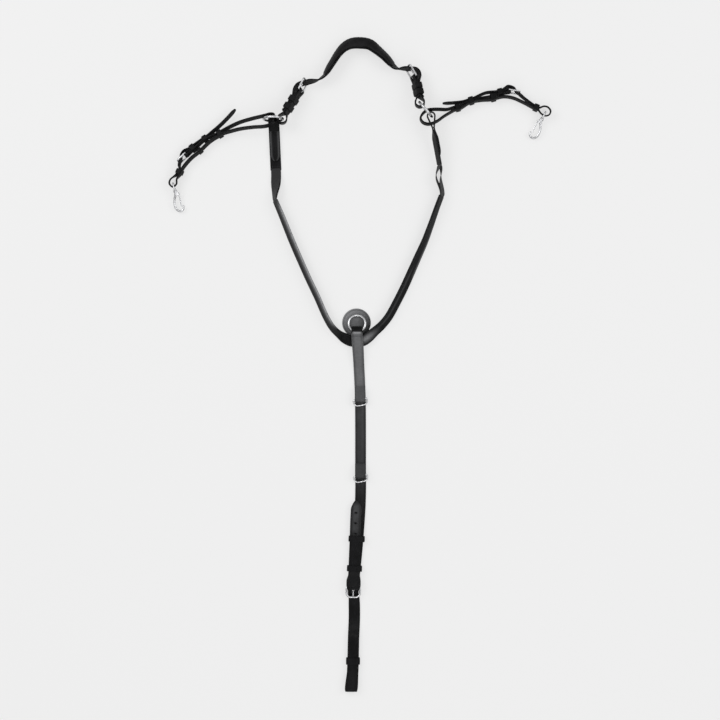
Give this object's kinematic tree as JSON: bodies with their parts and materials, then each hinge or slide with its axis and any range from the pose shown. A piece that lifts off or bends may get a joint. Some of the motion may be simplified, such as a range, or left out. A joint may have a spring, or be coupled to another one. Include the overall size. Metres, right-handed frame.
{
  "type": "hunting breastplate",
  "caption": "Hunting breastplate for a horse: neck loop with elastic inserts, wither strap, saddle straps with snap hooks, and a buckled girth strap.",
  "frame": {"origin": "centre of the chest disc's flat back, on the surface that the breastplate lies on", "axes": "+Z out of the chest disc's face, away from the horse; +Y towards the withers; +X to the right of the layout"},
  "size_m": [0.8017, 1.3764, 0.0509],
  "materials": {
    "black_leather": "dyed bridle leather, soft sheen",
    "grey_leather": "dyed bridle leather, lighter in the light",
    "elastic_web": "woven elastic webbing",
    "polished_steel": "polished stainless steel"
  },
  "bodies": {
    "breastplate": {"chest_disc": "grey_leather", "girth_strap": "grey_leather", "girth_billet": "black_leather", "upper_girth_keeper": "black_leather", "lower_girth_keeper": "black_leather", "upper_dee_chape": "grey_leather", "lower_dee_chape": "grey_leather", "wither_strap": "black_leather", "wither_pad": "black_leather", "left_shoulder_strap": "black_leather", "left_elastic_front": "elastic_web", "left_elastic_back": "elastic_web", "left_shoulder_tab": "black_leather", "left_wither_chape": "black_leather", "left_wither_keeper_upper": "black_leather", "left_wither_keeper_lower": "black_leather", "right_shoulder_strap": "black_leather", "right_elastic_front": "elastic_web", "right_elastic_back": "elastic_web", "right_shoulder_tab": "black_leather", "right_wither_chape": "black_leather", "right_wither_keeper_upper": "black_leather", "right_wither_keeper_lower": "black_leather"},
    "chest_ring": {"chest_ring": "polished_steel"},
    "upper_dee": {"upper_dee": "polished_steel"},
    "lower_dee": {"lower_dee": "polished_steel"},
    "girth_buckle_frame": {"girth_buckle": "polished_steel"},
    "girth_buckle_tongue": {"girth_tongue": "polished_steel"},
    "girth_loop_keeper": {"girth_loop_keeper": "black_leather"},
    "left_shoulder_ring": {"left_shoulder_ring": "polished_steel"},
    "left_wither_buckle_frame": {"left_wither_buckle": "polished_steel"},
    "left_wither_buckle_tongue": {"left_wither_tongue": "polished_steel"},
    "left_saddle_strap": {"left_saddle_strap": "black_leather", "left_saddle_keeper_buckle": "black_leather", "left_saddle_keeper_tipward": "black_leather", "left_saddle_keeper_ringward": "black_leather", "left_saddle_keeper_loose": "black_leather", "left_saddle_keeper_snapward": "black_leather"},
    "left_saddle_buckle_frame": {"left_saddle_buckle": "polished_steel"},
    "left_saddle_buckle_tongue": {"left_saddle_tongue": "polished_steel"},
    "left_snap_eye": {"left_snap_eye": "polished_steel"},
    "left_snap_hook": {"left_snap_hook": "polished_steel"},
    "left_snap_gate": {"left_snap_gate": "polished_steel"},
    "right_shoulder_ring": {"right_shoulder_ring": "polished_steel"},
    "right_wither_buckle_frame": {"right_wither_buckle": "polished_steel"},
    "right_wither_buckle_tongue": {"right_wither_tongue": "polished_steel"},
    "right_saddle_strap": {"right_saddle_strap": "black_leather", "right_saddle_keeper_buckle": "black_leather", "right_saddle_keeper_tipward": "black_leather", "right_saddle_keeper_ringward": "black_leather", "right_saddle_keeper_loose": "black_leather", "right_saddle_keeper_snapward": "black_leather"},
    "right_saddle_buckle_frame": {"right_saddle_buckle": "polished_steel"},
    "right_saddle_buckle_tongue": {"right_saddle_tongue": "polished_steel"},
    "right_snap_eye": {"right_snap_eye": "polished_steel"},
    "right_snap_hook": {"right_snap_hook": "polished_steel"},
    "right_snap_gate": {"right_snap_gate": "polished_steel"}
  },
  "joints": [
    {"name": "chest_ring_flip", "type": "hinge", "parent": "breastplate", "child": "chest_ring", "pos_m": [0.002, -0.01647, 0.01264], "axis": [1, 0, 0], "range_deg": [0, 120]},
    {"name": "upper_dee_flip", "type": "hinge", "parent": "breastplate", "child": "upper_dee", "pos_m": [0.008, -0.16, 0.00942], "axis": [-0.9925, 0.1219, 0], "range_deg": [0, 120]},
    {"name": "lower_dee_flip", "type": "hinge", "parent": "breastplate", "child": "lower_dee", "pos_m": [0.00872, -0.32, 0.00942], "axis": [-0.9925, 0.1219, 0], "range_deg": [0, 120]},
    {"name": "girth_frame_swing", "type": "hinge", "parent": "breastplate", "child": "girth_buckle_frame", "pos_m": [-0.0067, -0.556, 0.006], "axis": [-0.9996, 0.0297, -0.003], "range_deg": [0, 6]},
    {"name": "girth_tongue_swing", "type": "hinge", "parent": "girth_buckle_frame", "child": "girth_buckle_tongue", "pos_m": [-0.0067, -0.556, 0.006], "axis": [-0.9996, 0.0297, -0.003], "range_deg": [0, 8]},
    {"name": "girth_loop_keeper_slide", "type": "slide", "parent": "breastplate", "child": "girth_loop_keeper", "axis": [0, -1, 0], "range_m": [-0.01, 0.01]},
    {"name": "left_ring_turn", "type": "hinge", "parent": "breastplate", "child": "left_shoulder_ring", "pos_m": [-0.1735, 0.4245, 0.0261], "axis": [0, -0.9945, 0.1045], "continuous": true},
    {"name": "left_wither_frame_swing", "type": "hinge", "parent": "breastplate", "child": "left_wither_buckle_frame", "pos_m": [-0.1168, 0.484, 0.0185], "axis": [0.2038, -0.0055, 0.979], "range_deg": [0, 6]},
    {"name": "left_wither_tongue_swing", "type": "hinge", "parent": "left_wither_buckle_frame", "child": "left_wither_buckle_tongue", "pos_m": [-0.1168, 0.484, 0.0185], "axis": [0.2038, -0.0055, 0.979], "range_deg": [0, 8]},
    {"name": "left_saddle_strap_swing", "type": "hinge", "parent": "breastplate", "child": "left_saddle_strap", "pos_m": [-0.1735, 0.4245, 0.0261], "axis": [0, 0, 1], "range_deg": [-6, 4]},
    {"name": "left_saddle_frame_swing", "type": "hinge", "parent": "left_saddle_strap", "child": "left_saddle_buckle_frame", "pos_m": [-0.356, 0.3525, 0.0112], "axis": [0.1702, -0.2165, -0.9613], "range_deg": [0, 6]},
    {"name": "left_saddle_tongue_swing", "type": "hinge", "parent": "left_saddle_buckle_frame", "child": "left_saddle_buckle_tongue", "pos_m": [-0.356, 0.3525, 0.0112], "axis": [0.1702, -0.2165, -0.9613], "range_deg": [0, 8]},
    {"name": "left_snap_swing", "type": "hinge", "parent": "left_saddle_strap", "child": "left_snap_eye", "pos_m": [-0.384, 0.2918, 0.0124], "axis": [-0.0279, 0.1064, -0.9939], "range_deg": [-20, 20]},
    {"name": "left_hook_swivel", "type": "hinge", "parent": "left_snap_eye", "child": "left_snap_hook", "pos_m": [-0.384, 0.2918, 0.0124], "axis": [0.2519, -0.9615, -0.1099], "continuous": true},
    {"name": "left_gate_swing", "type": "hinge", "parent": "left_snap_hook", "child": "left_snap_gate", "pos_m": [-0.37222, 0.26971, 0.00971], "axis": [-0.0279, 0.1064, -0.9939], "range_deg": [0, 20], "stiffness_Nm_per_rad": 0.02, "springref_deg": -20.05},
    {"name": "right_ring_turn", "type": "hinge", "parent": "breastplate", "child": "right_shoulder_ring", "pos_m": [0.144, 0.444, 0.0285], "axis": [-0.7558, -0.6464, -0.1045], "continuous": true},
    {"name": "right_wither_frame_swing", "type": "hinge", "parent": "breastplate", "child": "right_wither_buckle_frame", "pos_m": [0.12, 0.5125, 0.02], "axis": [0.2033, -0.1076, -0.9732], "range_deg": [0, 6]},
    {"name": "right_wither_tongue_swing", "type": "hinge", "parent": "right_wither_buckle_frame", "child": "right_wither_buckle_tongue", "pos_m": [0.12, 0.5125, 0.02], "axis": [0.2033, -0.1076, -0.9732], "range_deg": [0, 8]},
    {"name": "right_saddle_strap_swing", "type": "hinge", "parent": "breastplate", "child": "right_saddle_strap", "pos_m": [0.144, 0.444, 0.0285], "axis": [0, 0, 1], "range_deg": [-4, 5]},
    {"name": "right_saddle_frame_swing", "type": "hinge", "parent": "right_saddle_strap", "child": "right_saddle_buckle_frame", "pos_m": [0.319, 0.485, 0.0112], "axis": [-0.0175, 0.0651, 0.9977], "range_deg": [0, 6]},
    {"name": "right_saddle_tongue_swing", "type": "hinge", "parent": "right_saddle_buckle_frame", "child": "right_saddle_buckle_tongue", "pos_m": [0.319, 0.485, 0.0112], "axis": [-0.0175, 0.0651, 0.9977], "range_deg": [0, 8]},
    {"name": "right_snap_swing", "type": "hinge", "parent": "right_saddle_strap", "child": "right_snap_eye", "pos_m": [0.3955, 0.4408, 0.0124], "axis": [-0.0498, -0.0981, 0.9939], "range_deg": [-20, 20]},
    {"name": "right_hook_swivel", "type": "hinge", "parent": "right_snap_eye", "child": "right_snap_hook", "pos_m": [0.3955, 0.4408, 0.0124], "axis": [-0.4501, -0.8862, -0.11], "continuous": true},
    {"name": "right_gate_swing", "type": "hinge", "parent": "right_snap_hook", "child": "right_snap_gate", "pos_m": [0.3793, 0.42172, 0.0097], "axis": [-0.0498, -0.0981, 0.9939], "range_deg": [0, 20], "stiffness_Nm_per_rad": 0.02, "springref_deg": -20.05}
  ]
}
